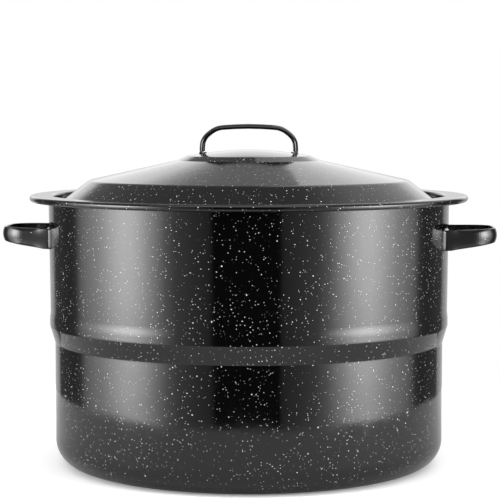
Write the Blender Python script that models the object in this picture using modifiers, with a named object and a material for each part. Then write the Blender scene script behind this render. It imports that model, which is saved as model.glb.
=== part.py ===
"""Water bath canner: an enamelled steel pot, its loose domed lid, and a wire jar rack inside.

Metres, +Z up. The origin is the centre of the pot's base. The pot's side handles point
along +X and -X, and the front faces -Y. Everything is at rest: lid on, rack on the floor
of the pot, the rack's two swing handles standing up under the lid.
"""
import math

import bpy
from mathutils import Vector

COLLECTION = "Water bath canner"

# ---- Driving dimensions -----------------------------------------------------------------
GAP = 0.0003                # air kept between two pieces that touch or are welded together
SHEET = 0.0010              # steel sheet with its enamel on both sides
TURN_STEPS = 48             # flats round a turned piece, a multiple of four
RING_STEPS = 48             # straight runs round a wire ring
WIRE_SIDES = 8              # flats round a wire

# Pot: two stacked drums with a shoulder between them, and a curled rim
POT_HEIGHT = 0.2345
POT_TOP_RADIUS = 0.1752     # outside, just under the rim
POT_WAIST_RADIUS = 0.1740   # outside, just above the shoulder
POT_FOOT_RADIUS = 0.1702    # outside, lower drum
POT_BASE_CORNER = 0.022     # radius between the wall and the flat base
SHOULDER_TOP = 0.1222
SHOULDER_BOTTOM = 0.1075
SHOULDER_ROUND = 0.0016     # radius of the shoulder's upper corner
SHOULDER_FILLET = 0.0050    # radius where the shoulder runs into the lower drum
BAND_Z = 0.1275             # raised band pressed into the wall above the shoulder
BAND_HALF_HEIGHT = 0.0030
BAND_PROUD = 0.0007
RIM_CURL_RADIUS = 0.0025

# Lid: crown, step, cone, wall, locating groove, flat brim and curled edge
BRIM_RADIUS = 0.1916
BRIM_TOP = POT_HEIGHT + GAP + SHEET
BRIM_CURL_RADIUS = 0.0027
GROOVE_OUTER_RADIUS = 0.1722    # the face that locates the lid inside the pot's mouth
GROOVE_INNER_RADIUS = 0.1655
GROOVE_BOTTOM = 0.2290
WALL_TOP_RADIUS = 0.1400
WALL_TOP = 0.2484
CONE_TOP_RADIUS = 0.0628
CONE_TOP = 0.2656
CROWN_RADIUS = 0.0545
CROWN_EDGE = 0.2703
CROWN_TOP = 0.2752

# Strap handles: a flat steel strap with a crowned outer face
STRAP_EDGE_ROUND = 0.0009
LID_STRAP_THICKNESS = 0.0030
LID_STRAP_WIDTH = 0.0130
LID_STRAP_CROWN = 0.0022
LID_HANDLE_FOOT = 0.0105        # length of each foot that lies on the crown
LID_FOOT_BEND = 0.0028          # outer radius of the bend between a leg and its foot
LID_CROWN_RISE = 0.0050         # height above that bend over which the section grows
# Half of the lid handle's outer outline in X and Z, from the middle of the top down
LID_HANDLE_OUTLINE = [(0.0, 0.2975), (0.0150, 0.2970), (0.0285, 0.2954),
                      (0.0379, 0.2895), (0.0423, 0.2832), (0.0434, 0.2769)]
SIDE_HANDLE_REACH = 0.2164      # outermost face, from the pot's axis
SIDE_HANDLE_CORNER_Y = 0.0320   # where a leg's line meets the outer run's
SIDE_HANDLE_ROOT_Y = 0.0435     # where a leg's line meets the wall
SIDE_HANDLE_CORNER_ROUND = 0.0280
SIDE_HANDLE_ROOT_ROUND = 0.0022
SIDE_HANDLE_TAB_Y = 0.0190      # the end of the tab, which is turned in under the grip
SIDE_HANDLE_ROOT_Z = (0.1896, 0.2072)   # lower and upper edge at the wall
SIDE_HANDLE_OUTER_Z = (0.1952, 0.2080)  # lower and upper edge at the outer run
SIDE_STRAP_THICKNESS = 0.0022
SIDE_STRAP_CROWN = 0.0016
CROWN_RISE = 0.0080             # distance from the wall over which the section grows
TAB_TAPER = 0.0080              # length over which a strap's end rounds off
TAB_THICKNESS = 0.0012          # of every foot and tab, pressed flat for its weld

# Jar rack
BASE_RING_RADIUS = 0.1320
BASE_WIRE = 0.00225             # wire radius of the base ring and the cross rod
UPPER_RING_RADIUS = 0.1460
UPPER_WIRE = 0.00175
UPPER_RING_Z = 0.0850
ROD_WIRE = 0.0016               # grid rods, uprights and swing handles
GRID_RODS = 11
GRID_PITCH = 0.0244
UPRIGHT_BY_EYE_DEG = 32.5       # from the X axis, just outside the handles' eyes
UPRIGHT_FOOT_Z = 0.0030

# Swing handles: one bent wire each, hinged on the upper ring where its eyes hold it
EYE_DEG = 30.0                  # where the eyes sit, from the X axis
EYE_RADIUS = 0.0050             # middle of the eye's wire
EYE_END_DEG = 465.0             # the wire's free end, closing the eye against the leg
LEG_LEAN_DEG = 3.8
# The bends from the top of the leg to the crossbar: distance outward from the hinge,
# height above it, and bend radius. The first three make the hook that sits on the rim.
HANDLE_BENDS = [(-0.0107, 0.0865, 0.0080), (0.0052, 0.0865, 0.0080),
                (0.0157, 0.0760, 0.0045), (0.0227, 0.0760, 0.0040),
                (0.0072, 0.1430, 0.0050), (0.0165, 0.1430, 0.0055)]
CROSSBAR_OUT = 0.0230
CROSSBAR_HEIGHT = 0.1340
CROSSBAR_BEND = 0.0045

# ---- Materials: base colour, roughness, metallic ----------------------------------------
ENAMEL = ((0.012, 0.012, 0.013), 0.12, 0.0)
BRIGHT_WIRE = ((0.74, 0.74, 0.73), 0.22, 1.0)


# ---- Helpers ----------------------------------------------------------------------------
def clear_scene():
    """Remove whatever the file holds, the startup objects included."""
    for obj in list(bpy.data.objects):
        bpy.data.objects.remove(obj, do_unlink=True)


def add_to_collection(obj):
    """Keep every piece in the canner's own collection and nowhere else."""
    collection = bpy.data.collections.get(COLLECTION)
    if collection is None:
        collection = bpy.data.collections.new(COLLECTION)
        bpy.context.scene.collection.children.link(collection)
    for other in list(obj.users_collection):
        other.objects.unlink(obj)
    collection.objects.link(obj)
    return obj


def finish_piece(obj, name, look, parent=None):
    """Name the piece, give it its own material, and hang it on its parent."""
    colour, roughness, metallic = look
    material = bpy.data.materials.new(name + "_material")
    material.use_nodes = True
    shader = material.node_tree.nodes["Principled BSDF"]
    shader.inputs["Base Color"].default_value = (*colour, 1.0)
    shader.inputs["Roughness"].default_value = roughness
    shader.inputs["Metallic"].default_value = metallic
    obj.name = name
    obj.data.name = name
    obj.data.materials.clear()
    obj.data.materials.append(material)
    obj.parent = parent
    return add_to_collection(obj)


def empty(name, location=(0, 0, 0), parent=None):
    """A frame that pieces hang on: a moving body's, or a hinge's on its axis."""
    frame = bpy.data.objects.new(name, None)
    frame.location = location
    frame.parent = parent
    return add_to_collection(frame)


def arc(centre, radius, start_deg, end_deg, steps):
    """Points along a circular arc in a plane, both ends included."""
    points = []
    for step in range(steps + 1):
        angle = math.radians(start_deg + (end_deg - start_deg) * step / steps)
        points.append((centre[0] + radius * math.cos(angle),
                       centre[1] + radius * math.sin(angle)))
    return points


def rounded(points, radii, steps):
    """A polyline whose inner corners are replaced by arcs of the given radii."""
    line = [Vector(point) for point in points]
    result = [line[0]]
    for before, corner, after, radius in zip(line, line[1:], line[2:], radii):
        back = (before - corner).normalized()
        ahead = (after - corner).normalized()
        turn = math.pi - back.angle(ahead)
        if radius == 0 or turn < 1e-6:
            result.append(corner)
            continue
        reach = radius * math.tan(turn / 2)
        centre = corner + (back + ahead).normalized() * (radius / math.cos(turn / 2))
        start = corner + back * reach - centre
        end = corner + ahead * reach - centre
        for step in range(steps + 1):
            share = step / steps
            spoke = start * math.sin((1 - share) * turn) + end * math.sin(share * turn)
            result.append(centre + spoke / math.sin(turn))
    result.append(line[-1])
    return result


def left_normals(points):
    """Unit normals on the left of each point of a plane polyline, mitred at corners."""
    line = [Vector(point) for point in points]
    runs = [(after - before).normalized() for before, after in zip(line, line[1:])]
    normals = []
    for before, after in zip(runs[:1] + runs, runs + runs[-1:]):
        side = Vector((-before.y - after.y, before.x + after.x)).normalized()
        normals.append(side / side.dot(Vector((-after.y, after.x))))
    return normals


def offset(points, distance):
    """The polyline moved sideways to its left by a distance."""
    return [Vector(point) + normal * distance
            for point, normal in zip(points, left_normals(points))]


def smooth_route(points, steps):
    """A Catmull-Rom curve through a few design points."""
    line = [Vector(point) for point in points]
    line = [line[0] * 2 - line[1], *line, line[-1] * 2 - line[-2]]
    route = []
    for a, b, c, d in zip(line, line[1:], line[2:], line[3:]):
        for step in range(steps):
            t = step / steps
            route.append(0.5 * (2 * b + (c - a) * t + (2 * a - 5 * b + 4 * c - d) * t ** 2
                                + (3 * b - a - 3 * c + d) * t ** 3))
    route.append(line[-2])
    return route


def turned(name, outline, look, parent=None):
    """A body of revolution about Z. The outline runs from the axis, round the body's outer
    side from top to bottom, and back to the axis."""
    mesh = bpy.data.meshes.new(name)
    edges = [(index, index + 1) for index in range(len(outline) - 1)]
    mesh.from_pydata([(r, 0.0, z) for r, z in outline], edges, [])
    obj = bpy.data.objects.new(name, mesh)
    screw = obj.modifiers.new("Turn", "SCREW")
    screw.axis = "Z"
    screw.steps = TURN_STEPS
    screw.render_steps = TURN_STEPS
    screw.use_merge_vertices = True
    screw.merge_threshold = 0.00001
    screw.use_smooth_shade = True
    return finish_piece(obj, name, look, parent)


def wire_ring(name, radius, wire, z, look, parent):
    """A welded wire hoop round the Z axis."""
    bpy.ops.mesh.primitive_torus_add(
        major_segments=RING_STEPS, minor_segments=WIRE_SIDES,
        major_radius=radius, minor_radius=wire, location=(0, 0, z))
    ring = bpy.context.object
    ring.data.shade_smooth()
    return finish_piece(ring, name, look, parent)


def straight_wire(name, start, end, wire, look, parent):
    """A straight length of round wire between two points."""
    start = Vector(start)
    run = Vector(end) - start
    bpy.ops.mesh.primitive_cylinder_add(
        vertices=WIRE_SIDES, radius=wire, depth=run.length, location=start + run / 2,
        rotation=run.to_track_quat("Z", "Y").to_euler())
    rod = bpy.context.object
    rod.data.shade_smooth()
    rod.data.set_sharp_from_angle(angle=math.radians(60))
    return finish_piece(rod, name, look, parent)


def bent_wire(name, points, wire, look, parent):
    """Round wire along a polyline, with flat cut ends."""
    curve = bpy.data.curves.new(name, "CURVE")
    curve.dimensions = "3D"
    curve.bevel_depth = wire
    curve.bevel_resolution = 2
    curve.use_fill_caps = True
    spline = curve.splines.new("POLY")
    spline.points.add(len(points) - 1)
    for spot, point in zip(spline.points, points):
        spot.co = (*point, 1.0)
    return finish_piece(bpy.data.objects.new(name, curve), name, look, parent)


def strap_section(width, crown, thickness):
    """Half-round-edged strap section: across the strap, and depth below its outer face."""
    half = width / 2
    flat = half - STRAP_EDGE_ROUND
    stations = [-flat, -flat / 2, 0.0, flat / 2, flat]
    outer = [(across, crown * (across / half) ** 2) for across in stations]
    inner = [(across, depth + thickness) for across, depth in reversed(outer)]
    edge = crown + thickness / 2
    return [*outer, (half, edge), *inner, (-half, edge)]


def loft(name, sections, look, parent):
    """A closed body through sections that all have the same number of points."""
    count = len(sections[0])
    corners = [point for section in sections for point in section]
    faces = [tuple(reversed(range(count)))]
    for row in range(len(sections) - 1):
        for column in range(count):
            a = row * count + column
            b = row * count + (column + 1) % count
            faces.append((a, b, b + count, a + count))
    last = (len(sections) - 1) * count
    faces.append(tuple(range(last, last + count)))
    mesh = bpy.data.meshes.new(name)
    mesh.from_pydata(corners, [], faces)
    mesh.shade_smooth()
    mesh.set_sharp_from_angle(angle=math.radians(50))
    return finish_piece(bpy.data.objects.new(name, mesh), name, look, parent)


def end_taper(route, index):
    """Width factor that rounds off a strap within TAB_TAPER of either end of its route."""
    ends = (route[0], route[-1])
    near = min((Vector(route[index]) - Vector(end)).length for end in ends)
    inset = 1 - min(near / TAB_TAPER, 1.0)
    return max(math.sqrt(1 - inset ** 2), 0.35)


# ---- Pot --------------------------------------------------------------------------------
def wall_radius(z):
    """Outside of the upper drum at a height: it narrows a little downward."""
    share = (POT_HEIGHT - z) / (POT_HEIGHT - BAND_Z)
    return POT_TOP_RADIUS + (POT_WAIST_RADIUS - POT_TOP_RADIUS) * share


def pot_outer_line():
    """The pot's outside from the raised band down to the middle of the flat base."""
    band = [(BAND_HALF_HEIGHT, 0.0), (BAND_HALF_HEIGHT / 2, BAND_PROUD),
            (-BAND_HALF_HEIGHT / 2, BAND_PROUD), (-BAND_HALF_HEIGHT, 0.0)]
    wall = [(POT_WAIST_RADIUS + proud, BAND_Z + rise) for rise, proud in band]
    shoulder = rounded([wall[-1], (POT_WAIST_RADIUS, SHOULDER_TOP),
                        (POT_FOOT_RADIUS, SHOULDER_BOTTOM),
                        (POT_FOOT_RADIUS, POT_BASE_CORNER)],
                       [SHOULDER_ROUND, SHOULDER_FILLET], 2)
    corner = arc((POT_FOOT_RADIUS - POT_BASE_CORNER, POT_BASE_CORNER),
                 POT_BASE_CORNER, 0, -90, 5)
    return [*wall, *shoulder[1:-1], *corner, (0.0, 0.0)]


def pot_body(parent):
    """One deep-drawn shell, its top edge curled outward into a round rim."""
    curl = RIM_CURL_RADIUS
    curl_centre = (POT_TOP_RADIUS - SHEET + curl, POT_HEIGHT - curl)
    meet_deg = -math.degrees(math.acos((SHEET - curl) / curl))
    rim = [*arc(curl_centre, curl, 180, 0, 4), *arc(curl_centre, curl, 0, meet_deg, 3)[1:]]
    outside = pot_outer_line()
    inside = offset([rim[-1], *outside], -SHEET)[1:]
    return turned("pot_body", [*reversed(inside), *rim, *outside], ENAMEL, parent)


def side_handle(name, turn_deg, parent):
    """A strap bent into a grip: an outer run, two legs, and a tab turned in at each root."""
    face_radius = wall_radius(SIDE_HANDLE_ROOT_Z[1]) + GAP
    tab_deg = math.degrees(math.asin(SIDE_HANDLE_TAB_Y / face_radius))
    root_deg = math.degrees(math.asin(SIDE_HANDLE_ROOT_Y / face_radius))
    tab = arc((0, 0), face_radius, tab_deg, root_deg, 3)
    half = [*tab, (SIDE_HANDLE_REACH, SIDE_HANDLE_CORNER_Y)]
    whole = [*half, *[(x, -y) for x, y in reversed(half)]]
    bends = [0] * 2 + [SIDE_HANDLE_ROOT_ROUND, SIDE_HANDLE_CORNER_ROUND]
    route = rounded(whole, bends + bends[::-1], 6)
    sections = []
    for index, (point, normal) in enumerate(zip(route, left_normals(route))):
        reach = max(point.x - face_radius, 0.0)
        share = reach / (SIDE_HANDLE_REACH - face_radius)
        low, high = (root + (outer - root) * share
                     for root, outer in zip(SIDE_HANDLE_ROOT_Z, SIDE_HANDLE_OUTER_Z))
        grown = min(reach / CROWN_RISE, 1.0)
        thickness = TAB_THICKNESS + (SIDE_STRAP_THICKNESS - TAB_THICKNESS) * grown
        section = strap_section((high - low) * end_taper(route, index),
                                SIDE_STRAP_CROWN * grown, thickness)
        sections.append([
            (*(point - normal * depth), (low + high) / 2 + across)
            for across, depth in section])
    handle = loft(name, sections, ENAMEL, parent)
    handle.rotation_euler.z = math.radians(turn_deg)
    return handle


# ---- Lid --------------------------------------------------------------------------------
def crown_height(radius):
    """Height of the lid's crowned top at a distance from the axis."""
    return CROWN_TOP - (CROWN_TOP - CROWN_EDGE) * (radius / CROWN_RADIUS) ** 2


def lid_top_line():
    """The lid's upper surface from the axis out to the start of the curled edge."""
    crown = [(radius, crown_height(radius))
             for radius in (0.0, CROWN_RADIUS / 2, CROWN_RADIUS)]
    corners = [*crown, (CONE_TOP_RADIUS, CONE_TOP), (WALL_TOP_RADIUS, WALL_TOP),
               (GROOVE_INNER_RADIUS, GROOVE_BOTTOM),
               (GROOVE_OUTER_RADIUS - SHEET, GROOVE_BOTTOM),
               (GROOVE_OUTER_RADIUS - SHEET, BRIM_TOP),
               (BRIM_RADIUS - BRIM_CURL_RADIUS, BRIM_TOP)]
    radii = [0, 0.0020, 0.0015, 0.0080, 0.0020, 0.0020, 0.0022]
    return rounded(corners, radii, 2)


def lid_shell(parent):
    """One pressed shell: it sits on the rim with its groove inside the pot's mouth."""
    curl = BRIM_CURL_RADIUS
    top = lid_top_line()
    underside = offset(top, -SHEET)
    curl_centre = (BRIM_RADIUS - curl, BRIM_TOP - curl)
    meet_deg = -180 - math.degrees(math.asin((curl - SHEET) / curl))
    edge = [*arc(curl_centre, curl, 90, -90, 4), *arc(curl_centre, curl, -90, meet_deg, 3)[1:]]
    outline = [*top[:-1], *edge, *reversed(underside[1:-1]), (0.0, CROWN_TOP - SHEET)]
    return turned("lid_shell", outline, ENAMEL, parent)


def lid_handle(parent):
    """An arched strap over the crown, its feet turned inward and welded down."""
    outline = [Vector(point) for point in LID_HANDLE_OUTLINE]
    leg_x = outline[-1].x
    foot_x = leg_x - LID_HANDLE_FOOT
    arch = smooth_route(outline, 3)
    foot = rounded([arch[-1], (leg_x, crown_height(leg_x) + GAP),
                    (foot_x, crown_height(foot_x) + GAP)], [LID_FOOT_BEND], 4)
    half = [*arch, *foot[1:]]
    route = [*[Vector((-p.x, p.y)) for p in reversed(half)], *half[1:]]
    sections = []
    for index, (point, normal) in enumerate(zip(route, left_normals(route))):
        above_bend = point.y - crown_height(leg_x) - LID_FOOT_BEND
        grown = min(max(above_bend / LID_CROWN_RISE, 0.0), 1.0)
        thickness = TAB_THICKNESS + (LID_STRAP_THICKNESS - TAB_THICKNESS) * grown
        section = strap_section(LID_STRAP_WIDTH * end_taper(route, index),
                                LID_STRAP_CROWN * grown, thickness)
        placed = [(point - normal * depth, across) for across, depth in section]
        sections.append([(spot.x, across, spot.y) for spot, across in placed])
    return loft("lid_handle", [section[::-1] for section in sections], ENAMEL, parent)


# ---- Jar rack ---------------------------------------------------------------------------
def rack_frame(parent):
    """The basket: a base ring with a grid of rods on it, an upper ring, and uprights."""
    base_z = SHEET + GAP + BASE_WIRE
    wire_ring("rack_base_ring", BASE_RING_RADIUS, BASE_WIRE, base_z, BRIGHT_WIRE, parent)
    wire_ring("rack_upper_ring", UPPER_RING_RADIUS, UPPER_WIRE, UPPER_RING_Z,
              BRIGHT_WIRE, parent)

    cross_end = BASE_RING_RADIUS - BASE_WIRE - GAP
    straight_wire("rack_cross_rod", (0, -cross_end, base_z), (0, cross_end, base_z),
                  BASE_WIRE, BRIGHT_WIRE, parent)

    rod_z = base_z + BASE_WIRE + GAP + ROD_WIRE
    reach = BASE_RING_RADIUS + BASE_WIRE
    for index in range(GRID_RODS):
        y = GRID_PITCH * (index - (GRID_RODS - 1) / 2)
        half = math.sqrt(reach ** 2 - y ** 2)
        straight_wire(f"rack_grid_rod_{index + 1:02d}", (-half, y, rod_z), (half, y, rod_z),
                      ROD_WIRE, BRIGHT_WIRE, parent)

    base_radius = BASE_RING_RADIUS + BASE_WIRE + GAP + ROD_WIRE
    upper_radius = UPPER_RING_RADIUS + UPPER_WIRE + GAP + ROD_WIRE
    flare = (upper_radius - base_radius) / (UPPER_RING_Z - base_z)
    foot = (base_radius + flare * (UPRIGHT_FOOT_Z - base_z), UPRIGHT_FOOT_Z)
    head = (upper_radius + flare * UPPER_WIRE, UPPER_RING_Z + UPPER_WIRE)
    beside = UPRIGHT_BY_EYE_DEG
    places = {"front": -90, "back": 90,
              "right_front": -beside, "right_back": beside,
              "left_front": beside - 180, "left_back": 180 - beside}
    for place, angle in places.items():
        turn = math.radians(angle)
        start, end = ((radius * math.cos(turn), radius * math.sin(turn), z)
                      for radius, z in (foot, head))
        straight_wire("rack_upright_" + place, start, end, ROD_WIRE, BRIGHT_WIRE, parent)


def swing_handle(name, side, parent):
    """One wire: an eye round the upper ring, a leg, a hook for the rim, an arm and a
    crossbar, then the same back down. side is +1 at +X and -1 at -X."""
    hinge_x = UPPER_RING_RADIUS * math.cos(math.radians(EYE_DEG))
    half_y = UPPER_RING_RADIUS * math.sin(math.radians(EYE_DEG))
    eye = arc((0, 0), EYE_RADIUS, EYE_END_DEG, 180 + LEG_LEAN_DEG, 11)
    eye = [Vector((out, -half_y, height)) for out, height in eye]
    corners = [eye[-1], *[(out, -half_y, height) for out, height, _ in HANDLE_BENDS],
               (CROSSBAR_OUT, -half_y, CROSSBAR_HEIGHT), (CROSSBAR_OUT, 0, CROSSBAR_HEIGHT)]
    radii = [*[radius for _, _, radius in HANDLE_BENDS], CROSSBAR_BEND]
    half = [*eye[:-1], *rounded(corners, radii, 3)[:-1]]
    whole = [*half, *[Vector((p.x, -p.y, p.z)) for p in reversed(half)]]
    hinge = empty(name + "_hinge", (side * hinge_x, 0, UPPER_RING_Z), parent)
    points = [(side * p.x, p.y, p.z) for p in whole]
    return bent_wire(name, points, ROD_WIRE, BRIGHT_WIRE, hinge)


# ---- Assembly ---------------------------------------------------------------------------
def build():
    clear_scene()
    pot = empty("pot_frame")
    pot_body(pot)
    side_handle("side_handle_right", 0, pot)
    side_handle("side_handle_left", 180, pot)

    rack = empty("rack_frame", parent=pot)
    rack_frame(rack)
    swing_handle("rack_handle_left", -1, rack)
    swing_handle("rack_handle_right", 1, rack)

    lid = empty("lid_frame", parent=rack)
    lid_shell(lid)
    lid_handle(lid)


build()
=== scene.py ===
import math

import bpy
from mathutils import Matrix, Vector, noise


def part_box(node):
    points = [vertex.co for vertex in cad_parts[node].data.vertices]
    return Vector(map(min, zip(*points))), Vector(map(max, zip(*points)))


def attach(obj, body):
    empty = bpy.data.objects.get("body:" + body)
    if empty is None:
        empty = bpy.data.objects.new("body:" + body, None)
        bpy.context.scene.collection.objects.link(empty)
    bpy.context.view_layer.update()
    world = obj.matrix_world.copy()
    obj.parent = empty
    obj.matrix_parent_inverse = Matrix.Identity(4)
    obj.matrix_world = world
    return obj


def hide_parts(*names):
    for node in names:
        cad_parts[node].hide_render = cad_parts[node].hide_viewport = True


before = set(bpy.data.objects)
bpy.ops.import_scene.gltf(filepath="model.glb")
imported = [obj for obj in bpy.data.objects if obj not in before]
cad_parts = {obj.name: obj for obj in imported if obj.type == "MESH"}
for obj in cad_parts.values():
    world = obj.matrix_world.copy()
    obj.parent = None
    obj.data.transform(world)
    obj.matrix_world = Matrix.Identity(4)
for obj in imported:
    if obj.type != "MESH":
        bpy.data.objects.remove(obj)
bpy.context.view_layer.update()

# ---- Sizes, in metres ---------------------------------------------------------------------
# They follow the CAD model. The crown's edge, the lid handle's feet and the root bends of the
# side handles are drawn finer here than there.
GAP = 0.0003
SHEET = 0.0010
TURN_STEPS = 256
BAND_STEPS = 20

POT_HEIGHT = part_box("pot_body")[1].z
POT_TOP_RADIUS = 0.1752
POT_WAIST_RADIUS = 0.1740
POT_FOOT_RADIUS = 0.1702
POT_BASE_CORNER = 0.022
SHOULDER_TOP = 0.1226
SHOULDER_BOTTOM = 0.1075
SHOULDER_FILLET = 0.0060
BAND_Z = 0.1275
BAND_PROUD = 0.0007
BAND_FILLET = 0.0080
BAND_FADE = 0.0085              # height over which the raised band fades into the wall
RIM_CURL_RADIUS = 0.0025
RIM_CURL_END_DEG = -105

BRIM_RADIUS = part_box("lid_shell")[1].x
BRIM_TOP = POT_HEIGHT + GAP + SHEET
BRIM_CURL_RADIUS = 0.0027
BRIM_CURL_END_DEG = -150
GROOVE_OUTER_RADIUS = 0.1722
GROOVE_INNER_RADIUS = 0.1655
GROOVE_BOTTOM = 0.2290
WALL_TOP_RADIUS = 0.1400
WALL_TOP = 0.2484
CONE_TOP_RADIUS = 0.0628
CONE_TOP = 0.2656
CROWN_RADIUS = 0.0545
CROWN_EDGE = 0.2695
CROWN_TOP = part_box("lid_shell")[1].z
CROWN_POWER = 1.7               # how the crown falls off with its radius

LID_STRAP_THICKNESS = 0.0030
LID_STRAP_WIDTH = 0.0130
LID_STRAP_CROWN = 0.0022
LID_HANDLE_FOOT = 0.0062
LID_FOOT_SINK = 0.0004          # how deep the feet sit in the enamel of the crown
LID_FOOT_WELD = 0.0030          # from a foot's end to its weld dimple
LID_FOOT_BEND = 0.0008
LID_FOOT_STEP = 0.0004
LID_CROWN_RISE = 0.0016         # run over which a leg grows to its full section
LID_HANDLE_OUTLINE = [(0.0, 0.2975), (0.0150, 0.2970), (0.0285, 0.2954),
                      (0.0379, 0.2895), (0.0423, 0.2832), (0.0434, 0.2769)]
SIDE_HANDLE_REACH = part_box("side_handle_right")[1].x
SIDE_HANDLE_CORNER_Y = 0.0320
SIDE_HANDLE_ROOT_Y = 0.0435
SIDE_HANDLE_CORNER_ROUND = 0.0280
SIDE_HANDLE_ROOT_ROUND = 0.0012
SIDE_HANDLE_TAB_Y = 0.0190
SIDE_HANDLE_WELD_Y = 0.0290
SIDE_HANDLE_WELD_Z = (-0.0040, 0.0040)
SIDE_HANDLE_ROOT_Z = (0.1896, 0.2072)
SIDE_HANDLE_OUTER_Z = (0.1952, 0.2080)
SIDE_STRAP_THICKNESS = 0.0022
SIDE_STRAP_CROWN = 0.0016
SIDE_CROWN_RISE = 0.0080        # reach at which a grip has its full section
TAB_TAPER = 0.0080
TAB_THICKNESS = 0.0012
WELD_DIMPLE = (0.0015, 0.00038)  # radius and depth of a spot weld on a side handle's tab
WELD_RING = (0.0023, 0.0006, 0.00010)   # radius, width and height of the lip round it
FOOT_DIMPLE = (0.0016, 0.00035)  # the same on a foot of the lid handle

# Section of an enamel bead: distance out from the seam, and height
BEAD_SECTION = ((-0.0010, 0.0013), (-0.0002, 0.0011), (0.0002, 0.0007), (0.0006, 0.0003),
                (0.0012, 0.00008), (0.0017, -0.00025))
BEAD_ROOT_LIFT = 0.3            # how much higher it is along a tab's root
BEAD_ROOT_RUN = 0.0030
BEAD_INSET = 0.0003

BASE_RING_RADIUS = 0.1320
BASE_WIRE = 0.00225
UPPER_RING_RADIUS = 0.1460
UPPER_WIRE = 0.00175
UPPER_RING_Z = 0.0850
ROD_WIRE = 0.0016
GRID_RODS = 11
GRID_PITCH = 0.0244
UPRIGHT_BY_EYE_DEG = 32.5
UPRIGHT_FOOT_Z = 0.0030
BASE_Z = SHEET + GAP + BASE_WIRE

EYE_DEG = 30.0
EYE_RADIUS = 0.0050
EYE_END_DEG = 465.0
LEG_LEAN_DEG = 3.8
HANDLE_BENDS = [(-0.0107, 0.0865, 0.0080), (0.0052, 0.0865, 0.0080),
                (0.0157, 0.0760, 0.0045), (0.0227, 0.0760, 0.0040),
                (0.0072, 0.1430, 0.0050), (0.0165, 0.1430, 0.0055)]
CROSSBAR_OUT = 0.0230
CROSSBAR_HEIGHT = 0.1340
CROSSBAR_BEND = 0.0045


# ---- Lines --------------------------------------------------------------------------------
def arc(centre, radius, start_deg, end_deg, steps):
    points = []
    for step in range(steps + 1):
        angle = math.radians(start_deg + (end_deg - start_deg) * step / steps)
        points.append(Vector((centre[0] + radius * math.cos(angle),
                              centre[1] + radius * math.sin(angle))))
    return points


def rounded(points, radii, steps):
    """A polyline whose inner corners are replaced by arcs of the given radii."""
    line = [Vector(point) for point in points]
    result = [line[0]]
    for before, corner, after, radius in zip(line, line[1:], line[2:], radii):
        back = (before - corner).normalized()
        ahead = (after - corner).normalized()
        turn = math.pi - back.angle(ahead)
        if radius == 0 or turn < 1e-6:
            result.append(corner)
            continue
        reach = radius * math.tan(turn / 2)
        centre = corner + (back + ahead).normalized() * (radius / math.cos(turn / 2))
        start = corner + back * reach - centre
        end = corner + ahead * reach - centre
        for step in range(steps + 1):
            share = step / steps
            spoke = start * math.sin((1 - share) * turn) + end * math.sin(share * turn)
            result.append(centre + spoke / math.sin(turn))
    result.append(line[-1])
    return result


def supported(points, longest=0.012, near=0.0005):
    """Adds points close to both ends of every long run, so that its shading stays flat."""
    line = [Vector(points[0])]
    for after in points[1:]:
        before = line[-1].copy()
        run = Vector(after) - before
        if run.length > 4 * near:
            step = run.normalized() * near
            pieces = max(1, math.ceil((run.length - 2 * near) / longest))
            inner = run - 2 * step
            line += [before + step + inner * (i / pieces) for i in range(pieces + 1)]
        line.append(Vector(after))
    return line


def left_normals(points):
    line = [Vector(point) for point in points]
    runs = [(after - before).normalized() for before, after in zip(line, line[1:])]
    normals = []
    for before, after in zip(runs[:1] + runs, runs + runs[-1:]):
        side = Vector((-before.y - after.y, before.x + after.x)).normalized()
        normals.append(side / side.dot(Vector((-after.y, after.x))))
    return normals


def offset(points, distance):
    return [Vector(point) + normal * distance
            for point, normal in zip(points, left_normals(points))]


def smooth_route(points, steps):
    """A Catmull-Rom curve through a few design points."""
    line = [Vector(point) for point in points]
    line = [line[0] * 2 - line[1], *line, line[-1] * 2 - line[-2]]
    route = []
    for a, b, c, d in zip(line, line[1:], line[2:], line[3:]):
        for step in range(steps):
            t = step / steps
            route.append(0.5 * (2 * b + (c - a) * t + (2 * a - 5 * b + 4 * c - d) * t ** 2
                                + (3 * b - a - 3 * c + d) * t ** 3))
    route.append(line[-2])
    return route


def smoothstep(low, high, value):
    share = min(max((value - low) / (high - low), 0.0), 1.0)
    return share * share * (3 - 2 * share)


# ---- Meshes -------------------------------------------------------------------------------
def piece(name, verts, faces, material, body, nodes=(), uvs=None):
    """A smooth piece in the row frame that rides a body and may stand for CAD nodes."""
    mesh = bpy.data.meshes.new(name)
    mesh.from_pydata([tuple(v) for v in verts], [], faces)
    mesh.shade_smooth()
    mesh.materials.append(material)
    if uvs:
        layer = mesh.uv_layers.new(name="along")
        layer.data.foreach_set("uv", [x for face in uvs for uv in face for x in uv])
    obj = bpy.data.objects.new(name, mesh)
    bpy.context.scene.collection.objects.link(obj)
    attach(obj, body)
    if nodes:
        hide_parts(*nodes)
    return obj


def turned(line, steps=TURN_STEPS):
    """A closed body of revolution from a line that starts and ends on the axis and keeps
    the body on its left."""
    ring = line[1:-1]
    count = len(ring)
    verts = [(0, 0, line[0][1]), (0, 0, line[-1][1])]
    faces = []
    for step in range(steps):
        turn = 2 * math.pi * step / steps
        c, s = math.cos(turn), math.sin(turn)
        verts += [(r * c, r * s, z) for r, z in ring]
        a, b = 2 + step * count, 2 + (step + 1) % steps * count
        faces.append((0, b, a))
        faces += [(a + i, b + i, b + i + 1, a + i + 1) for i in range(count - 1)]
        faces.append((1, a + count - 1, b + count - 1))
    return verts, faces


def free_edge(end, normal, ahead, half):
    """The rounded edge of a sheet: points round from one face to the other."""
    middle = end - normal * half
    points = []
    for step in range(1, 6):
        turn = math.pi * step / 6
        points.append(middle + normal * (half * math.cos(turn)) + ahead * (half * math.sin(turn)))
    return points


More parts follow.
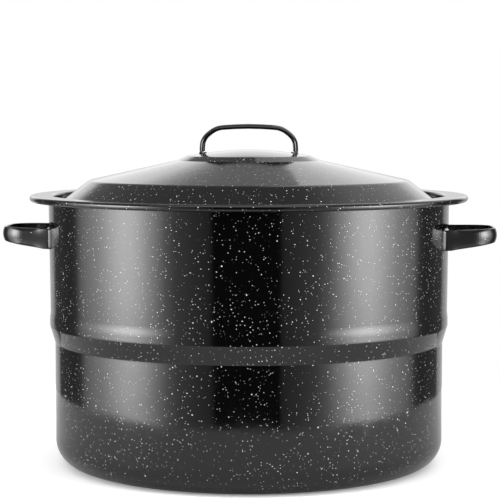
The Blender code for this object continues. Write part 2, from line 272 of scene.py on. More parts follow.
def sheet_body(face_line):
    """The line of a sheet's section: out along one face, round its free edge, and back.
    The sheet's body is on the left of the face line."""
    back = offset(face_line, SHEET)
    ahead = (face_line[-1] - face_line[-2]).normalized()
    side = Vector((ahead.y, -ahead.x))
    edge = free_edge(face_line[-1], side, ahead, SHEET / 2)
    back[0].x = 0.0
    return [*face_line, *edge, *reversed(back)]


def tube(points, radius, sides=16, closed=False, chamfer=0.00035):
    """Round wire along 3-D points, with chamfered cut ends. Gives vertices, faces and uvs,
    where u goes round the wire and v along it, both in metres."""
    line = [Vector(p) for p in points]
    count = len(line)
    if closed:
        tangents = [(line[(i + 1) % count] - line[i - 1]).normalized() for i in range(count)]
    else:
        padded = [line[0] * 2 - line[1], *line, line[-1] * 2 - line[-2]]
        tangents = [((b - a).normalized() + (c - b).normalized()).normalized()
                    for a, b, c in zip(padded, padded[1:], padded[2:])]
    up = Vector((0, 0, 1)) if abs(tangents[0].z) < 0.8 else Vector((1, 0, 0))
    side = (up - tangents[0] * up.dot(tangents[0])).normalized()
    stations, along = [], 0.0
    for index, (point, tangent) in enumerate(zip(line, tangents)):
        side = (side - tangent * side.dot(tangent)).normalized()
        if index:
            along += (point - line[index - 1]).length
        stations.append((point, side.copy(), tangent.cross(side), radius, along))
    if not closed:
        first, last = stations[0], stations[-1]
        start = (first[0], *first[1:3], radius - chamfer, first[4])
        end = (last[0], *last[1:3], radius - chamfer, last[4])
        first = (first[0] + tangents[0] * chamfer, *first[1:])
        last = (last[0] - tangents[-1] * chamfer, *last[1:])
        stations = [start, first, *stations[1:-1], last, end]
    verts, faces, uvs = [], [], []
    for point, a, b, size, _ in stations:
        for k in range(sides):
            turn = 2 * math.pi * k / sides
            verts.append(point + a * (size * math.cos(turn)) + b * (size * math.sin(turn)))
    rows = len(stations)
    for row in range(rows if closed else rows - 1):
        after = (row + 1) % rows
        v0 = stations[row][4]
        v1 = stations[after][4] if after else along + (line[0] - line[-1]).length
        for k in range(sides):
            m = (k + 1) % sides
            faces.append((row * sides + k, row * sides + m, after * sides + m, after * sides + k))
            u0, u1 = (2 * math.pi * radius * j / sides for j in (k, k + 1))
            uvs.append([(u0, v0), (u1, v0), (u1, v1), (u0, v1)])
    if not closed:
        for row, flip in ((0, True), (rows - 1, False)):
            centre = len(verts)
            verts.append(stations[row][0])
            for k in range(sides):
                m = (k + 1) % sides
                a, b = (m, k) if flip else (k, m)
                faces.append((row * sides + a, row * sides + b, centre))
                uvs.append([(0, 0), (0.0003, 0), (0, 0.0003)])
    return verts, faces, uvs


def strap_section(width, crown, thickness, edge):
    """A strap's section: across it, and depth below its outer face, with round edges."""
    half = width / 2
    edge = min(edge, half * 0.8)
    flat = half - edge
    stations = [flat * t for t in (-1, -0.8, -0.55, -0.28, 0, 0.28, 0.55, 0.8, 1)]
    outer = [(u, crown * (u / half) ** 2) for u in stations]
    inner = [(u, d + thickness) for u, d in reversed(outer)]
    depth = outer[-1][1]
    slope = 2 * crown * flat / half ** 2 * edge * 0.5
    bend = []
    for step in range(1, 8):
        turn = math.pi * step / 8
        bend.append((flat + edge * math.sin(turn),
                     depth + slope * math.sin(turn) + thickness / 2 * (1 - math.cos(turn))))
    left = [(-u, d) for u, d in reversed(bend)]
    return [*outer, *bend, *inner, *left]


def loft(sections):
    """A closed body through sections, its ends drawn to a point in the middle of each."""
    count = len(sections[0])
    verts = [Vector(point) for section in sections for point in section]
    faces = []
    for row in range(len(sections) - 1):
        for k in range(count):
            m = (k + 1) % count
            faces.append((row * count + k, row * count + m,
                          (row + 1) * count + m, (row + 1) * count + k))
    for row, flip in ((0, True), (len(sections) - 1, False)):
        ring = verts[row * count:(row + 1) * count]
        centre = len(verts)
        verts.append(sum(ring, Vector()) / count)
        for k in range(count):
            m = (k + 1) % count
            a, b = (m, k) if flip else (k, m)
            faces.append((row * count + a, row * count + b, centre))
    return verts, faces


def blob(verts, faces, centre, axes, sizes, seed):
    """Adds one lumpy weld nugget to a mesh: an ellipsoid on three axes."""
    rows, sides, start = 8, 12, len(verts)
    for row in range(1, rows):
        tilt = math.pi * row / rows
        for k in range(sides):
            turn = 2 * math.pi * k / sides
            ball = Vector((math.sin(tilt) * math.cos(turn), math.sin(tilt) * math.sin(turn),
                           math.cos(tilt)))
            swell = 1 + 0.16 * noise.noise(ball * 1.7 + Vector((seed * 3.1, seed * 1.7, 0)))
            spot = Vector(centre)
            for axis, size, x in zip(axes, sizes, ball):
                spot = spot + Vector(axis) * (size * x * swell)
            verts.append(spot)
    for end, row in ((1, 1), (-1, rows - 1)):
        verts.append(Vector(centre) + Vector(axes[2]) * (sizes[2] * end))
        tip = len(verts) - 1
        ring = start + (row - 1) * sides
        for k in range(sides):
            m = (k + 1) % sides
            faces.append((ring + k, ring + m, tip) if end == 1 else (ring + m, ring + k, tip))
    for row in range(rows - 2):
        for k in range(sides):
            m = (k + 1) % sides
            a, b = start + row * sides, start + (row + 1) * sides
            faces.append((a + k, b + k, b + m, a + m))


# ---- Materials ----------------------------------------------------------------------------
# Two layers of specks: cells to a metre, smallest and largest radius in cells, and share
SPECK_LAYERS = ((250.0, 0.06, 0.17, 0.85), (460.0, 0.09, 0.23, 1.05))
SPECK_WARP = 0.00012
SPECK_HEIGHT = 0.00007


class Nodes:
    """A thin helper for building a node tree."""

    def __init__(self, tree):
        self.tree = tree
        tree.nodes.clear()

    def add(self, kind, **settings):
        node = self.tree.nodes.new(kind)
        for key, value in settings.items():
            if key in ("operation", "data_type", "interpolation_type", "clamp"):
                setattr(node, key, value)
            else:
                self.put(node, key, value)
        return node

    def put(self, node, key, value):
        socket = node.inputs[int(key[1:])] if key[0] == "i" and key[1:].isdigit() else \
            node.inputs[key.replace("_", " ")]
        if isinstance(value, bpy.types.NodeSocket):
            self.tree.links.new(value, socket)
        else:
            socket.default_value = value

    def math(self, operation, a, b=0.0, c=0.0):
        node = self.add("ShaderNodeMath", operation=operation, i0=a, i1=b)
        if operation == "MULTIPLY_ADD":
            self.put(node, "i2", c)
        return node.outputs[0]

    def ramp(self, value, from_low, from_high, to_low=0.0, to_high=1.0, kind="LINEAR"):
        node = self.add("ShaderNodeMapRange", interpolation_type=kind, clamp=True,
                        i0=value, i1=from_low, i2=from_high, i3=to_low, i4=to_high)
        return node.outputs[0]

    def noise(self, vector, scale, detail=2.0, roughness=0.5):
        node = self.add("ShaderNodeTexNoise", Vector=vector, Scale=scale, Detail=detail,
                        Roughness=roughness)
        return node.outputs


def enamel(name, seed, speck_amount, wave):
    """Black porcelain enamel: glossy, a little wavy, with raised white specks in it."""
    material = bpy.data.materials.new(name)
    material.use_nodes = True
    n = Nodes(material.node_tree)
    place = n.add("ShaderNodeTexCoord").outputs["Object"]
    shifted = n.add("ShaderNodeVectorMath", operation="ADD", i0=place,
                    i1=(seed * 0.37, seed * 0.71, seed * 0.13)).outputs[0]
    wobble = n.noise(shifted, 700.0, 1.0)[1]
    wobble = n.add("ShaderNodeVectorMath", operation="SUBTRACT", i0=wobble,
                   i1=(0.5, 0.5, 0.5)).outputs[0]
    wobble = n.add("ShaderNodeVectorMath", operation="SCALE", i0=wobble, Scale=SPECK_WARP).outputs[0]
    spot = n.add("ShaderNodeVectorMath", operation="ADD", i0=shifted, i1=wobble).outputs[0]
    crowd = n.noise(shifted, 24.0, 1.0)[0]
    crowd = n.ramp(crowd, 0.35, 0.65, 0.55, 1.0)
    marks, shades = [], []
    for scale, small, large, share in SPECK_LAYERS:
        cell = n.add("ShaderNodeTexVoronoi", Vector=spot, Scale=scale)
        parts = n.add("ShaderNodeSeparateColor", Color=cell.outputs["Color"])
        size = n.math("POWER", parts.outputs[0], 1.8)
        reach = n.ramp(size, 0.0, 1.0, small, large)
        inner = n.math("MULTIPLY", reach, 0.62)
        mark = n.ramp(cell.outputs["Distance"], reach, inner, 0.0, 1.0, "SMOOTHSTEP")
        limit = n.math("MULTIPLY", crowd, share * speck_amount)
        shown = n.math("LESS_THAN", parts.outputs[2], limit)
        marks.append(n.math("MULTIPLY", mark, shown))
        shades.append(parts.outputs[1])
    mark = n.math("MAXIMUM", *marks)
    shade = n.ramp(n.math("MAXIMUM", *shades), 0.0, 1.0, 0.30, 1.0)
    tint = n.noise(shifted, 9.0, 3.0)[0]
    ground = n.add("ShaderNodeMix", data_type="RGBA", Factor=tint, i6=(0.0008, 0.0008, 0.0010, 1),
                   i7=(0.0017, 0.0016, 0.0016, 1)).outputs[2]
    fleck = n.add("ShaderNodeMix", data_type="RGBA", Factor=shade, i6=(0.10, 0.10, 0.105, 1),
                  i7=(0.74, 0.74, 0.72, 1)).outputs[2]
    colour = n.add("ShaderNodeMix", data_type="RGBA", Factor=mark, i6=ground, i7=fleck).outputs[2]
    smear = n.noise(shifted, 55.0, 3.0)[0]
    rough = n.ramp(smear, 0.3, 0.7, 0.060, 0.105)
    rough = n.math("MULTIPLY_ADD", mark, 0.10, rough)
    peel = n.noise(shifted, 330.0, 2.0, 0.4)[0]
    swell = n.noise(shifted, 26.0, 1.0, 0.4)[0]
    height = n.math("MULTIPLY", peel, 0.0000085)
    height = n.math("MULTIPLY_ADD", swell, wave, height)
    height = n.math("MULTIPLY_ADD", mark, SPECK_HEIGHT, height)
    bump = n.add("ShaderNodeBump", Strength=1.0, Distance=1.0, Height=height).outputs[0]
    shader = n.add("ShaderNodeBsdfPrincipled", Base_Color=colour, Roughness=rough, Normal=bump,
                   IOR=1.52)
    n.tree.links.new(shader.outputs[0], n.add("ShaderNodeOutputMaterial").inputs[0])
    return material


def bright_wire(name, dull):
    """Plated steel wire: bright, with fine drawing lines along it and a few soft stains."""
    material = bpy.data.materials.new(name)
    material.use_nodes = True
    n = Nodes(material.node_tree)
    coord = n.add("ShaderNodeTexCoord")
    lines = n.add("ShaderNodeMapping", Vector=coord.outputs["UV"], Scale=(1, 0.018, 1)).outputs[0]
    lines = n.noise(lines, 5200.0, 2.0, 0.6)[0]
    stain = n.noise(coord.outputs["Object"], 60.0, 4.0, 0.6)[0]
    pits = n.noise(coord.outputs["Object"], 1500.0, 2.0)[0]
    colour = n.add("ShaderNodeMix", data_type="RGBA", Factor=n.ramp(stain, 0.35, 0.7),
                   i6=(0.80, 0.80, 0.79, 1), i7=(0.62, 0.61, 0.59, 1)).outputs[2]
    rough = n.ramp(stain, 0.3, 0.75, 0.12 + dull, 0.27 + dull)
    rough = n.math("MULTIPLY_ADD", lines, 0.06, rough)
    height = n.math("MULTIPLY", lines, 0.000006)
    height = n.math("MULTIPLY_ADD", pits, 0.000004 + 0.00004 * dull, height)
    bump = n.add("ShaderNodeBump", Strength=1.0, Distance=1.0, Height=height).outputs[0]
    shader = n.add("ShaderNodeBsdfPrincipled", Base_Color=colour, Metallic=1.0, Roughness=rough,
                   Normal=bump)
    n.tree.links.new(shader.outputs[0], n.add("ShaderNodeOutputMaterial").inputs[0])
    return material


BODY_ENAMEL = enamel("pot_enamel", 1.0, 1.0, 0.00016)
LID_ENAMEL = enamel("lid_enamel", 2.0, 0.8, 0.00010)
HANDLE_ENAMEL = enamel("handle_enamel", 3.0, 0.12, 0.00005)
WIRE = bright_wire("rack_bright_wire", 0.0)
WELD = bright_wire("rack_weld", 0.18)


# ---- Pot ----------------------------------------------------------------------------------
def wall_radius(z):
    share = (POT_HEIGHT - z) / (POT_HEIGHT - BAND_Z)
    return POT_TOP_RADIUS + (POT_WAIST_RADIUS - POT_TOP_RADIUS) * share


def pot_shell():
    """The deep-drawn shell: base, lower drum, shoulder, raised band, wall and rolled rim."""
    corner = arc((POT_FOOT_RADIUS - POT_BASE_CORNER, POT_BASE_CORNER),
                 POT_BASE_CORNER, -90, 0, 18)
    proud = POT_WAIST_RADIUS + BAND_PROUD
    shoulder = rounded([corner[-1], (POT_FOOT_RADIUS, SHOULDER_BOTTOM),
                        (proud, SHOULDER_TOP), (proud, BAND_Z)],
                       [SHOULDER_FILLET, BAND_FILLET], 10)
    band = []
    for step in range(1, BAND_STEPS + 1):
        z = BAND_Z + BAND_FADE * step / BAND_STEPS
        left = 1 - smoothstep(0, BAND_STEPS, step)
        band.append(Vector((wall_radius(z) + BAND_PROUD * left, z)))
    curl_z = POT_HEIGHT - RIM_CURL_RADIUS
    inner_turn = RIM_CURL_RADIUS - SHEET
    centre = (POT_TOP_RADIUS + inner_turn, curl_z)
    curl = arc(centre, inner_turn, 180, RIM_CURL_END_DEG, 26)
    face = supported([Vector((0, 0)), *corner, *shoulder[1:], *band, *curl])
    verts, faces = turned(sheet_body(face))
    return piece("pot_shell", verts, faces, BODY_ENAMEL, "pot", ["pot_body"])


def end_taper(near):
    """Width factor of a strap at a distance from its end."""
    inset = 1 - min(near / TAB_TAPER, 1.0)
    return max(math.sqrt(1 - inset ** 2), 0.22)


def dimple(away, radius, depth):
    """How deep a round, flat-bottomed weld dimple is at a distance from its middle."""
    return depth * math.exp(-(away / radius) ** 4)


def side_handle(name, node, side):
    """A strap bent into a grip, with a spot-welded tab turned in at each root."""
    face_radius = wall_radius(SIDE_HANDLE_ROOT_Z[1]) + GAP
    tab_deg = math.degrees(math.asin(SIDE_HANDLE_TAB_Y / face_radius))
    root_deg = math.degrees(math.asin(SIDE_HANDLE_ROOT_Y / face_radius))
    tab = arc((0, 0), face_radius, tab_deg, root_deg - 2.2, 24)
    half = [*tab, *arc((0, 0), face_radius, root_deg, root_deg, 1)[1:],
            Vector((SIDE_HANDLE_REACH, SIDE_HANDLE_CORNER_Y))]
    whole = [*half, *[Vector((p.x, -p.y)) for p in reversed(half)]]
    bends = [0] * 24 + [SIDE_HANDLE_ROOT_ROUND, SIDE_HANDLE_CORNER_ROUND]
    route = supported(rounded(whole, bends + bends[::-1], 16), 0.004)
    sections = []
    for point, normal in zip(route, left_normals(route)):
        reach = max(point.x - face_radius, 0.0)
        share = reach / (SIDE_HANDLE_REACH - face_radius)
        low, high = (root + (outer - root) * share
                     for root, outer in zip(SIDE_HANDLE_ROOT_Z, SIDE_HANDLE_OUTER_Z))
        near = min((point - end).length for end in (route[0], route[-1]))
        grown = smoothstep(0, SIDE_CROWN_RISE, reach)
        thick = TAB_THICKNESS + (SIDE_STRAP_THICKNESS - TAB_THICKNESS) * grown
        section = []
        for across, depth in strap_section((high - low) * end_taper(near),
                                           SIDE_STRAP_CROWN * grown, thick, thick / 2):
            if reach == 0 and depth > thick * 0.6:
                for weld_z in SIDE_HANDLE_WELD_Z:
                    away = math.hypot(abs(point.y) - SIDE_HANDLE_WELD_Y, across - weld_z)
                    ring_radius, ring_width, ring_height = WELD_RING
                    depth -= dimple(away, *WELD_DIMPLE)
                    depth += ring_height * math.exp(-((away - ring_radius) / ring_width) ** 2)
            spot = point - normal * depth
            section.append((side * spot.x, side * spot.y, (low + high) / 2 + across))
        sections.append(section)
    verts, faces = loft(sections)
    return piece(name, verts, faces, HANDLE_ENAMEL, "pot", [node])


def bead(verts, faces, outline, place, seed, flip=False):
    """Adds the bead of enamel that closes a seam: it runs round a closed outline, higher at
    the root, and place(spot, height) puts a point of it on the surface below."""
    root = max(spot.x for spot in outline)
    base, count, width = len(verts), len(outline), len(BEAD_SECTION)
    for index, spot in enumerate(outline):
        run = (outline[(index + 1) % count] - outline[index - 1]).normalized()
        away = Vector((run.y, -run.x))
        swell = 1 + 0.25 * noise.noise(Vector((spot.x * 160, spot.y * 160, seed)))
        lift = 1 + BEAD_ROOT_LIFT * smoothstep(root - BEAD_ROOT_RUN, root, spot.x)
        for out, height in BEAD_SECTION:
            height *= lift if height > 0 else 1
            verts.append(place(spot + away * (out * (swell if out > 0 else 1)), height))
    for i in range(count):
        for j in range(width - 1):
            a, b = base + i * width + j, base + (i + 1) % count * width + j
            quad = (a, a + 1, b + 1, b)
            faces.append(quad[::-1] if flip else quad)


def tab_outline(end, root, half, turn_in=0.0022):
    """The outline of a tab, anticlockwise: a round free end and a square root."""
    middle = end + TAB_TAPER
    outline = [Vector((middle - TAB_TAPER * math.sin(math.pi * i / 20),
                       half * math.cos(math.pi * i / 20))) for i in range(21)]
    outline += arc((root - turn_in, turn_in - half), turn_in, -90, 0, 6)
    outline += [Vector((root, half * t)) for t in (-0.45, -0.15, 0.15, 0.45)]
    outline += arc((root - turn_in, half - turn_in), turn_in, 0, 90, 6)
    return outline


def side_handle_beads():
    """Enamel round the side handles' tabs, where they meet the wall."""
    verts, faces = [], []
    z_middle = sum(SIDE_HANDLE_ROOT_Z) / 2
    half = (SIDE_HANDLE_ROOT_Z[1] - SIDE_HANDLE_ROOT_Z[0]) / 2
    radius = wall_radius(z_middle)
    outline = tab_outline(radius * math.asin(SIDE_HANDLE_TAB_Y / radius),
                          radius * math.asin(SIDE_HANDLE_ROOT_Y / radius) - BEAD_INSET,
                          half)
    for side in (1, -1):
        for end in (1, -1):
            def place(spot, height):
                z = z_middle + spot.y
                out, turn = wall_radius(z) + height, end * spot.x / radius
                return (side * out * math.cos(turn), side * out * math.sin(turn), z)
            bead(verts, faces, outline, place, side * 3 + end, flip=end < 0)
    return piece("side_handle_enamel_beads", verts, faces, HANDLE_ENAMEL, "pot")


# ---- Lid ----------------------------------------------------------------------------------
def crown_height(radius):
    return CROWN_TOP - (CROWN_TOP - CROWN_EDGE) * (radius / CROWN_RADIUS) ** CROWN_POWER


def lid_sheet():
    """One pressed sheet: crown, step, cone, wall, locating groove, brim and rolled edge."""
    crown = [Vector((r, crown_height(r)))
             for r in (CROWN_RADIUS * i / 12 for i in range(13))]
    corners = [*crown, (CONE_TOP_RADIUS, CONE_TOP), (WALL_TOP_RADIUS, WALL_TOP),
               (GROOVE_INNER_RADIUS, GROOVE_BOTTOM),
               (GROOVE_OUTER_RADIUS - SHEET, GROOVE_BOTTOM),
               (GROOVE_OUTER_RADIUS - SHEET, BRIM_TOP),
               (BRIM_RADIUS - BRIM_CURL_RADIUS, BRIM_TOP)]
    radii = [0] * 11 + [0.0020, 0.0015, 0.0080, 0.0020, 0.0020, 0.0022]
    top = rounded(corners, radii, 8)
    curl = arc((BRIM_RADIUS - BRIM_CURL_RADIUS, BRIM_TOP - BRIM_CURL_RADIUS),
               BRIM_CURL_RADIUS, 90, BRIM_CURL_END_DEG, 24)
    face = supported([*top[:-1], *curl])
    back = offset(face, -SHEET)
    ahead = (face[-1] - face[-2]).normalized()
    side = Vector((-ahead.y, ahead.x))
    edge = free_edge(face[-1], side, ahead, SHEET / 2)
    back[0].x = 0.0
    verts, faces = turned([*back, *reversed(edge), *reversed(face)])
    return piece("lid_sheet", verts, faces, LID_ENAMEL, "lid", ["lid_shell"])


def lid_handle():
    """An arched, half-round strap over the crown, its feet turned inward and welded down."""
    outline = [Vector(point) for point in LID_HANDLE_OUTLINE]
    leg_x = outline[-1].x
    foot_x = leg_x - LID_HANDLE_FOOT
    arch = smooth_route(outline, 12)
    foot = rounded([arch[-1], (leg_x, crown_height(leg_x) - LID_FOOT_SINK),
                    (foot_x, crown_height(foot_x) - LID_FOOT_SINK)], [LID_FOOT_BEND], 12)
    half = [*arch, *supported(foot, LID_FOOT_STEP)[1:]]
    route = [*[Vector((-p.x, p.y)) for p in reversed(half)], *half[1:]]
    sections = []
    for point, normal in zip(route, left_normals(route)):
        grown = smoothstep(0, LID_CROWN_RISE, point.y - crown_height(leg_x) - LID_FOOT_BEND)
        near = min((point - end).length for end in (route[0], route[-1]))
        thick = TAB_THICKNESS + (LID_STRAP_THICKNESS - TAB_THICKNESS) * grown
        section = []
        for across, depth in strap_section(LID_STRAP_WIDTH * end_taper(near),
                                           LID_STRAP_CROWN * grown, thick, thick / 2):
            if point.y < crown_height(leg_x) + TAB_THICKNESS and depth > thick * 0.6:
                away = math.hypot(abs(point.x) - (foot_x + LID_FOOT_WELD), across)
                depth -= dimple(away, *FOOT_DIMPLE)
            spot = point - normal * depth
            section.append((spot.x, across, spot.y))
        sections.append(section[::-1])
    verts, faces = loft(sections)
    return piece("lid_handle_strap", verts, faces, HANDLE_ENAMEL, "lid",
                 ["lid_handle"])


# ---- Jar rack -----------------------------------------------------------------------------
def wire(name, points, radius, node, body="rack", sides=16, closed=False):
    verts, faces, uvs = tube(points, radius, sides, closed)
    return piece(name, verts, faces, WIRE, body, [node], uvs)


def hoop(radius, z, steps=192):
    return [(radius * math.cos(2 * math.pi * i / steps), radius * math.sin(2 * math.pi * i / steps), z)
            for i in range(steps)]


def rod(start, end):
    start, end = Vector(start), Vector(end)
    return [start, *[start.lerp(end, t) for t in (0.01, 0.25, 0.5, 0.75, 0.99)], end]


def rack():
    """Base ring, cross rod, grid rods, uprights and upper ring, with a nugget at every weld."""
    wire("base_ring_wire", hoop(BASE_RING_RADIUS, BASE_Z), BASE_WIRE, "rack_base_ring",
         sides=20, closed=True)
    wire("upper_ring_wire", hoop(UPPER_RING_RADIUS, UPPER_RING_Z), UPPER_WIRE,
         "rack_upper_ring", sides=18, closed=True)
    cross_end = BASE_RING_RADIUS - BASE_WIRE - GAP
    wire("cross_rod_wire", rod((0, -cross_end, BASE_Z), (0, cross_end, BASE_Z)), BASE_WIRE,
         "rack_cross_rod", sides=20)
    rod_z = BASE_Z + BASE_WIRE + GAP + ROD_WIRE
    reach = BASE_RING_RADIUS + BASE_WIRE
    x_axis, y_axis, z_axis = Vector((1, 0, 0)), Vector((0, 1, 0)), Vector((0, 0, 1))
    verts, faces, seed = [], [], 0
    seat = rod_z - ROD_WIRE - GAP / 2
    for index in range(GRID_RODS):
        y = GRID_PITCH * (index - (GRID_RODS - 1) / 2)
        half = math.sqrt(reach ** 2 - y ** 2)
        number = f"{index + 1:02d}"
        wire("grid_rod_wire_" + number, rod((-half, y, rod_z), (half, y, rod_z)), ROD_WIRE,
             "rack_grid_rod_" + number)
        on_ring = math.sqrt(BASE_RING_RADIUS ** 2 - y ** 2)
        for x in (-on_ring, 0.0, on_ring):
            seed += 1
            blob(verts, faces, (x, y, seat), (x_axis, y_axis, z_axis),
                 (0.0016, 0.0017, 0.0007), seed)
    for end in (-1, 1):
        seed += 1
        blob(verts, faces, (0, end * (cross_end + GAP / 2), BASE_Z), (x_axis, z_axis, y_axis),
             (0.0021, 0.0021, 0.0009), seed)

    base_radius = BASE_RING_RADIUS + BASE_WIRE + GAP + ROD_WIRE
    upper_radius = UPPER_RING_RADIUS + UPPER_WIRE + GAP + ROD_WIRE
    flare = (upper_radius - base_radius) / (UPPER_RING_Z - BASE_Z)
    foot = (base_radius + flare * (UPRIGHT_FOOT_Z - BASE_Z), UPRIGHT_FOOT_Z)
    head = (upper_radius + flare * UPPER_WIRE, UPPER_RING_Z + UPPER_WIRE)
    beside = UPRIGHT_BY_EYE_DEG
    places = {"front": -90, "back": 90,
              "right_front": -beside, "right_back": beside,
              "left_front": beside - 180, "left_back": 180 - beside}
    for place, angle in places.items():
        turn = math.radians(angle)
        out = Vector((math.cos(turn), math.sin(turn), 0))
        start, end = (out * radius + z_axis * z for radius, z in (foot, head))
        wire("upright_wire_" + place, rod(start, end), ROD_WIRE, "rack_upright_" + place)
        for radius, z in ((BASE_RING_RADIUS + BASE_WIRE + GAP / 2, BASE_Z),
                          (UPPER_RING_RADIUS + UPPER_WIRE + GAP / 2, UPPER_RING_Z)):
            seed += 1
            blob(verts, faces, out * radius + z_axis * z, (out.cross(z_axis), z_axis, out),
                 (0.0015, 0.0015, 0.0007), seed)
    piece("rack_weld_nuggets", verts, faces, WELD, "rack")


def swing_handle(name, node, side):
    """One wire: an eye round the upper ring, a leg, a rim hook, an arm and the crossbar."""
    hinge_x = UPPER_RING_RADIUS * math.cos(math.radians(EYE_DEG))
    half_y = UPPER_RING_RADIUS * math.sin(math.radians(EYE_DEG))
    eye = arc((0, 0), EYE_RADIUS, EYE_END_DEG, 180 + LEG_LEAN_DEG, 48)
    eye = [Vector((p.x, -half_y, p.y)) for p in eye]
    corners = [eye[-1], *[(out, -half_y, height) for out, height, _ in HANDLE_BENDS],
               (CROSSBAR_OUT, -half_y, CROSSBAR_HEIGHT), (CROSSBAR_OUT, 0, CROSSBAR_HEIGHT)]
    radii = [*[radius for _, _, radius in HANDLE_BENDS], CROSSBAR_BEND]
    half = [*eye[:-1], *rounded(corners, radii, 12)[:-1]]
    whole = [*half, *[Vector((p.x, -p.y, p.z)) for p in reversed(half)]]
    points = [(side * (hinge_x + p.x), p.y, UPPER_RING_Z + p.z) for p in whole]
    wire(name, points, ROD_WIRE, node, node)


# ---- Assembly -----------------------------------------------------------------------------
pot_shell()
side_handle("side_grip_right", "side_handle_right", 1)
side_handle("side_grip_left", "side_handle_left", -1)
side_handle_beads()
lid_sheet()
lid_handle()
rack()
swing_handle("swing_handle_wire_left", "rack_handle_left", -1)
swing_handle("swing_handle_wire_right", "rack_handle_right", 1)


# ---- Floor, light and camera --------------------------------------------------------------
def floor():
    """A round pale table top under the pot, slightly satin. Reflections see a darker copy of it, a
    painted shade; the camera sees it as white as the room behind, with a faint even glow."""
    steps = 128
    line = [(0.20, 0.0), (0.35, 0.0), (0.46, 0.0), (0.495, -0.0005), (0.5, -0.004)]
    verts, faces = [(0, 0, 0)], []
    for radius, z in line:
        verts += [(radius * math.cos(2 * math.pi * k / steps),
                   radius * math.sin(2 * math.pi * k / steps), z) for k in range(steps)]
    for k in range(steps):
        m = (k + 1) % steps
        faces.append((0, 1 + k, 1 + m))
        for row in range(len(line) - 1):
            a, b = 1 + row * steps, 1 + (row + 1) * steps
            faces.append((a + k, b + k, b + m, a + m))
    mesh = bpy.data.meshes.new("table_top")
    mesh.from_pydata(verts, [], faces)
    mesh.shade_smooth()
    material = bpy.data.materials.new("table_white")
    material.use_nodes = True
    n = Nodes(material.node_tree)
    place = n.add("ShaderNodeTexCoord").outputs["Object"]
    grain = n.noise(place, 40.0, 3.0)[0]
    colour = n.add("ShaderNodeMix", data_type="RGBA", Factor=grain, i6=(0.95, 0.95, 0.95, 1),
                   i7=(0.98, 0.98, 0.98, 1)).outputs[2]
    bright = n.add("ShaderNodeBsdfPrincipled", Base_Color=colour, Roughness=0.75,
                   Specular_IOR_Level=0.2, Emission_Color=(1, 1, 1, 1),
                   Emission_Strength=0.15)
    # A darker grey copy of the floor that only reflections see: painted shade.
    painted_shade_copy = n.add("ShaderNodeBsdfPrincipled", Base_Color=(0.60, 0.60, 0.60, 1),
                 Roughness=0.75, Specular_IOR_Level=0.2)
    seen = n.add("ShaderNodeLightPath").outputs["Is Camera Ray"]
    shader = n.add("ShaderNodeMixShader", i0=seen, i1=painted_shade_copy.outputs[0], i2=bright.outputs[0])
    n.tree.links.new(shader.outputs[0], n.add("ShaderNodeOutputMaterial").inputs[0])
    mesh.materials.append(material)
    table = bpy.data.objects.new("table_top", mesh)
    bpy.context.scene.collection.objects.link(table)


def studio_world():
    """A white cyclorama for the eye. Reflections see a soft studio: dark in front, a tall
    soft panel on each side, and a pale wall behind."""
    world = bpy.data.worlds.new("studio")
    bpy.context.scene.world = world
    world.use_nodes = True
    n = Nodes(world.node_tree)
    way = n.add("ShaderNodeTexCoord").outputs["Generated"]
    x, y, z = n.add("ShaderNodeSeparateXYZ", Vector=way).outputs
    azimuth = n.math("ARCTAN2", x, n.math("MULTIPLY", y, -1.0))
    azimuth = n.math("MULTIPLY", azimuth, 180 / math.pi)
    rise = n.math("MULTIPLY", n.math("ARCSINE", z), 180 / math.pi)
    from_front = n.math("ABSOLUTE", n.math("SUBTRACT", azimuth, PANEL_TURN))
    room = level_ring(n, from_front, ROOM_LEVELS)
    panels = level_ring(n, from_front, PANEL_LEVELS)
    panels = n.math("MULTIPLY", panels, n.ramp(rise, -11.0, -4.5, 0.50, 1.0, "SMOOTHSTEP"))
    panels = n.math("MULTIPLY", panels, n.ramp(rise, -4.0, 8.0, 1.0, 1.6, "SMOOTHSTEP"))
    dusk = n.math("MULTIPLY", n.ramp(from_front, 146.0, 158.0, 0.0, 0.55, "SMOOTHSTEP"),
                  n.ramp(rise, 0.0, 9.0, 1.0, 0.0, "SMOOTHSTEP"))
    room = n.math("MULTIPLY", room, n.math("SUBTRACT", 1.0, dusk))
    low = n.math("ADD", room, panels)
    warm = n.math("MULTIPLY", n.ramp(azimuth, 95, 140, 0, 1, "SMOOTHSTEP"),
                  n.ramp(rise, 48, 72, 0.75, 0.0, "SMOOTHSTEP"))
    high = n.math("ADD", warm, 0.38)
    lean = n.math("DIVIDE", n.math("MULTIPLY", y, -1.0), n.math("MAXIMUM", z, 0.01))
    top = n.math("MULTIPLY", n.ramp(lean, -0.02, 0.08, 0.0, 1.0, "SMOOTHSTEP"),
                 n.ramp(lean, 0.50, 0.75, 1.0, 0.0, "SMOOTHSTEP"))
    top = n.math("MULTIPLY", top, n.ramp(n.math("ABSOLUTE", x), 0.35, 0.60, 1.9, 0.0, "SMOOTHSTEP"))
    high = n.math("ADD", high, top)
    level = n.add("ShaderNodeMix", data_type="FLOAT",
                  Factor=n.ramp(rise, 18.0, 27.0, 0, 1, "SMOOTHSTEP"), i2=low, i3=high).outputs[0]
    seen = n.add("ShaderNodeLightPath").outputs["Is Camera Ray"]
    strength = n.add("ShaderNodeMix", data_type="FLOAT", Factor=seen, i2=level, i3=1.0).outputs[0]
    back = n.add("ShaderNodeBackground", Color=(1, 1, 1, 1), Strength=strength)
    n.tree.links.new(back.outputs[0], n.add("ShaderNodeOutputWorld").inputs[0])


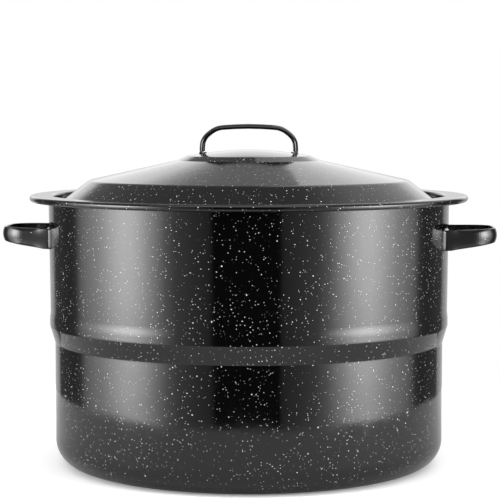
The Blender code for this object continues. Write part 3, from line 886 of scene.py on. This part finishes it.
# Light levels round the studio, by degrees from the front
PANEL_TURN = 2.5
ROOM_LEVELS = [(0, 0.012), (18.3, 0.014), (20.3, 0.27), (24, 0.36), (30, 0.48), (36, 0.66),
               (44, 0.95), (55, 1.0), (98, 1.0), (108, 0.7), (116, 0.22), (122, 0.13),
               (146, 0.13), (151, 0.75), (158, 1.5), (180, 1.5)]
PANEL_LEVELS = [(40, 0.0), (46, 0.7), (50, 2.0), (56, 4.2), (62, 6.8), (68, 8.3), (74, 8.3),
                (80, 6.6), (87, 4.2), (94, 2.3), (102, 1.2), (109, 0.5), (114, 0.0)]


def level_ring(n, degrees, levels):
    """A light level that changes with the direction round the studio."""
    most = max(level for _, level in levels)
    node = n.add("ShaderNodeValToRGB", Fac=n.math("DIVIDE", degrees, 180.0))
    ramp = node.color_ramp
    while len(ramp.elements) < len(levels):
        ramp.elements.new(0.5)
    for element, (at, level) in zip(ramp.elements, levels):
        element.position = at / 180
        element.color = (level / most, level / most, level / most, 1)
    return n.math("MULTIPLY", node.outputs[0], most)


def fill_light(name, place, aim, size, energy):
    """A soft light that fills the floor and leaves no shape of its own in reflections."""
    light = bpy.data.lights.new(name, "AREA")
    light.shape = "DISK"
    light.size = size
    light.energy = energy
    lamp = bpy.data.objects.new(name, light)
    lamp.location = place
    lamp.rotation_euler = (Vector(aim) - Vector(place)).to_track_quat("-Z", "Y").to_euler()
    lamp.visible_camera = False
    lamp.visible_glossy = False
    bpy.context.scene.collection.objects.link(lamp)


floor()
studio_world()
CAMERA_TURN_DEG = 3.75
CAMERA_DISTANCE = 1.62
CAMERA_HEIGHT = 0.309
CAMERA_AIM = (0.001, 0.0, 0.1865)
CAMERA_LENS = 132.7

fill_light("overhead_fill", (0, 0, 2.2), (0, 0, 0), 2.4, 8)
fill_light("left_floor_fill", (-0.9, -0.5, 0.9), (-0.35, -0.2, 0), 0.8, 4)
fill_light("right_floor_fill", (0.9, -0.5, 0.9), (0.35, -0.2, 0), 0.8, 4)

camera = bpy.data.cameras.new("camera")
camera.sensor_width = 36.0
camera.lens = CAMERA_LENS
viewpoint = bpy.data.objects.new("camera", camera)
turn = math.radians(CAMERA_TURN_DEG)
viewpoint.location = (CAMERA_DISTANCE * math.sin(turn), -CAMERA_DISTANCE * math.cos(turn),
                      CAMERA_HEIGHT)
aim = Vector(CAMERA_AIM) - viewpoint.location
viewpoint.rotation_euler = aim.to_track_quat("-Z", "Y").to_euler()
bpy.context.scene.collection.objects.link(viewpoint)
bpy.context.scene.camera = viewpoint
bpy.context.scene.view_settings.view_transform = "Standard"
